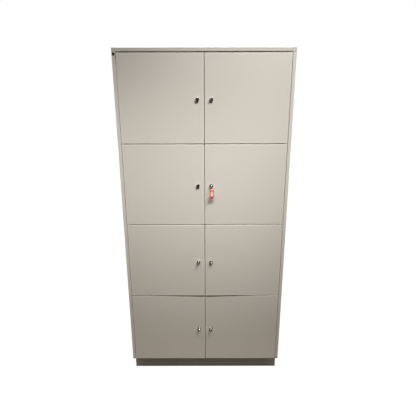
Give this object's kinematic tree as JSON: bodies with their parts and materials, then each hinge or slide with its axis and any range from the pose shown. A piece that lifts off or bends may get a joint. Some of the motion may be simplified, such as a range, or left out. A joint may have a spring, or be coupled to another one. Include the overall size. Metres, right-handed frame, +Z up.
{
  "type": "phone locker cabinet",
  "caption": "Tall steel locker cabinet with two columns of small plain doors, a cam lock in each and a recessed plinth, for keeping phones locked up.",
  "frame": {"origin": "on the floor, under the middle of the body", "axes": "+Z up, doors face -Y, +X to the right as seen from the front"},
  "size_m": [0.95, 0.487, 1.95],
  "materials": {
    "body_paint": "warm light grey powder coat, satin",
    "plinth_paint": "dark grey powder coat, satin",
    "lock_chrome": "polished chrome plate",
    "bare_steel": "zinc-plated steel",
    "key_nickel": "nickel-plated steel",
    "nylon": "natural nylon",
    "black_plastic": "black plastic, slightly glossy",
    "buffer_rubber": "soft black rubber",
    "tag_plastic": "red translucent plastic"
  },
  "bodies": {
    "carcass": {"side_panel_left": "body_paint", "side_panel_right": "body_paint", "top_panel": "body_paint", "base_panel": "body_paint", "back_panel": "body_paint", "centre_divider": "body_paint", "plinth": "plinth_paint", "hinge_pivots": "bare_steel", "stile_plugs": "black_plastic", "thrust_washers": "nylon", "door_buffers": "buffer_rubber", "shelves_left": "body_paint", "shelves_right": "body_paint"},
    "door_left_1": {"door_left_1": "body_paint", "door_stiffener_left_1": "body_paint", "lock_housing_left_1": "lock_chrome"},
    "lock_left_1": {"lock_plug_left_1": "bare_steel", "lock_cam_left_1": "bare_steel"},
    "door_left_2": {"door_left_2": "body_paint", "door_stiffener_left_2": "body_paint", "lock_housing_left_2": "lock_chrome"},
    "lock_left_2": {"lock_plug_left_2": "bare_steel", "lock_cam_left_2": "bare_steel"},
    "door_left_3": {"door_left_3": "body_paint", "door_stiffener_left_3": "body_paint", "lock_housing_left_3": "lock_chrome"},
    "lock_left_3": {"lock_plug_left_3": "bare_steel", "lock_cam_left_3": "bare_steel"},
    "door_left_4": {"door_left_4": "body_paint", "door_stiffener_left_4": "body_paint", "lock_housing_left_4": "lock_chrome"},
    "lock_left_4": {"lock_plug_left_4": "bare_steel", "lock_cam_left_4": "bare_steel"},
    "door_right_1": {"door_right_1": "body_paint", "door_stiffener_right_1": "body_paint", "lock_housing_right_1": "lock_chrome"},
    "lock_right_1": {"lock_plug_right_1": "bare_steel", "lock_cam_right_1": "bare_steel"},
    "door_right_2": {"door_right_2": "body_paint", "door_stiffener_right_2": "body_paint", "lock_housing_right_2": "lock_chrome"},
    "lock_right_2": {"lock_plug_right_2": "bare_steel", "lock_cam_right_2": "bare_steel"},
    "door_right_3": {"door_right_3": "body_paint", "door_stiffener_right_3": "body_paint", "lock_housing_right_3": "lock_chrome"},
    "lock_right_3": {"lock_plug_right_3": "bare_steel", "lock_cam_right_3": "bare_steel"},
    "door_right_4": {"door_right_4": "body_paint", "door_stiffener_right_4": "body_paint", "lock_housing_right_4": "lock_chrome"},
    "lock_right_4": {"lock_plug_right_4": "bare_steel", "lock_cam_right_4": "bare_steel"},
    "key_right_2": {"key_right_2": "key_nickel"},
    "key_left_3": {"key_left_3": "key_nickel"},
    "key_right_3": {"key_right_3": "key_nickel"},
    "key_left_4": {"key_left_4": "key_nickel"},
    "key_right_4": {"key_right_4": "key_nickel"},
    "key_ring": {"key_ring": "bare_steel"},
    "key_tag": {"key_tag": "tag_plastic"}
  },
  "joints": [
    {"name": "door_left_1_hinge", "type": "hinge", "parent": "carcass", "child": "door_left_1", "pos_m": [-0.4448, -0.219, 1.46974], "axis": [0, 0, -1], "range_deg": [0, 110]},
    {"name": "door_left_2_hinge", "type": "hinge", "parent": "carcass", "child": "door_left_2", "pos_m": [-0.4448, -0.219, 1.00877], "axis": [0, 0, -1], "range_deg": [0, 110]},
    {"name": "door_left_3_hinge", "type": "hinge", "parent": "carcass", "child": "door_left_3", "pos_m": [-0.4448, -0.219, 0.54781], "axis": [0, 0, -1], "range_deg": [-0.8, 109.2]},
    {"name": "door_left_4_hinge", "type": "hinge", "parent": "carcass", "child": "door_left_4", "pos_m": [-0.4448, -0.219, 0.08685], "axis": [0, 0, -1], "range_deg": [0, 110]},
    {"name": "door_right_1_hinge", "type": "hinge", "parent": "carcass", "child": "door_right_1", "pos_m": [0.4448, -0.219, 1.46974], "axis": [0, 0, 1], "range_deg": [0, 110]},
    {"name": "door_right_2_hinge", "type": "hinge", "parent": "carcass", "child": "door_right_2", "pos_m": [0.4448, -0.219, 1.00877], "axis": [0, 0, 1], "range_deg": [0, 110]},
    {"name": "door_right_3_hinge", "type": "hinge", "parent": "carcass", "child": "door_right_3", "pos_m": [0.4448, -0.219, 0.54781], "axis": [0, 0, 1], "range_deg": [-0.8, 109.2]},
    {"name": "door_right_4_hinge", "type": "hinge", "parent": "carcass", "child": "door_right_4", "pos_m": [0.4448, -0.219, 0.08685], "axis": [0, 0, 1], "range_deg": [0, 110]},
    {"name": "lock_left_1_turn", "type": "hinge", "parent": "door_left_1", "child": "lock_left_1", "pos_m": [-0.0375, -0.225, 1.69837], "axis": [0, -1, 0], "range_deg": [0, 90]},
    {"name": "lock_left_2_turn", "type": "hinge", "parent": "door_left_2", "child": "lock_left_2", "pos_m": [-0.0375, -0.225, 1.23741], "axis": [0, -1, 0], "range_deg": [0, 90]},
    {"name": "lock_left_3_turn", "type": "hinge", "parent": "door_left_3", "child": "lock_left_3", "pos_m": [-0.03762, -0.23069, 0.77644], "axis": [-0.014, -0.9999, 0], "range_deg": [0, 90]},
    {"name": "lock_left_4_turn", "type": "hinge", "parent": "door_left_4", "child": "lock_left_4", "pos_m": [-0.0375, -0.225, 0.31548], "axis": [0, -1, 0], "range_deg": [0, 90]},
    {"name": "lock_right_1_turn", "type": "hinge", "parent": "door_right_1", "child": "lock_right_1", "pos_m": [0.0375, -0.225, 1.69837], "axis": [0, 1, 0], "range_deg": [0, 90]},
    {"name": "lock_right_2_turn", "type": "hinge", "parent": "door_right_2", "child": "lock_right_2", "pos_m": [0.0375, -0.225, 1.23741], "axis": [0, 1, 0], "range_deg": [0, 90]},
    {"name": "lock_right_3_turn", "type": "hinge", "parent": "door_right_3", "child": "lock_right_3", "pos_m": [0.03762, -0.23069, 0.77644], "axis": [-0.014, 0.9999, 0], "range_deg": [0, 90]},
    {"name": "lock_right_4_turn", "type": "hinge", "parent": "door_right_4", "child": "lock_right_4", "pos_m": [0.0375, -0.225, 0.31548], "axis": [0, 1, 0], "range_deg": [0, 90]},
    {"name": "key_right_2_slide", "type": "slide", "parent": "lock_right_2", "child": "key_right_2", "axis": [0, -1, 0], "range_m": [0, 0.028]},
    {"name": "key_left_3_slide", "type": "slide", "parent": "lock_left_3", "child": "key_left_3", "axis": [-0.014, -0.9999, 0], "range_m": [0, 0.028]},
    {"name": "key_right_3_slide", "type": "slide", "parent": "lock_right_3", "child": "key_right_3", "axis": [0.014, -0.9999, 0], "range_m": [0, 0.028]},
    {"name": "key_left_4_slide", "type": "slide", "parent": "lock_left_4", "child": "key_left_4", "axis": [0, -1, 0], "range_m": [0, 0.028]},
    {"name": "key_right_4_slide", "type": "slide", "parent": "lock_right_4", "child": "key_right_4", "axis": [0, -1, 0], "range_m": [0, 0.028]},
    {"name": "key_ring_swing", "type": "hinge", "parent": "key_right_2", "child": "key_ring", "pos_m": [0.0375, -0.251, 1.23741], "axis": [1, 0, 0], "range_deg": [-75, 18]},
    {"name": "key_tag_swing", "type": "hinge", "parent": "key_ring", "child": "key_tag", "pos_m": [0.04186, -0.251, 1.21511], "axis": [0, 1, 0], "range_deg": [-60, 60]}
  ]
}
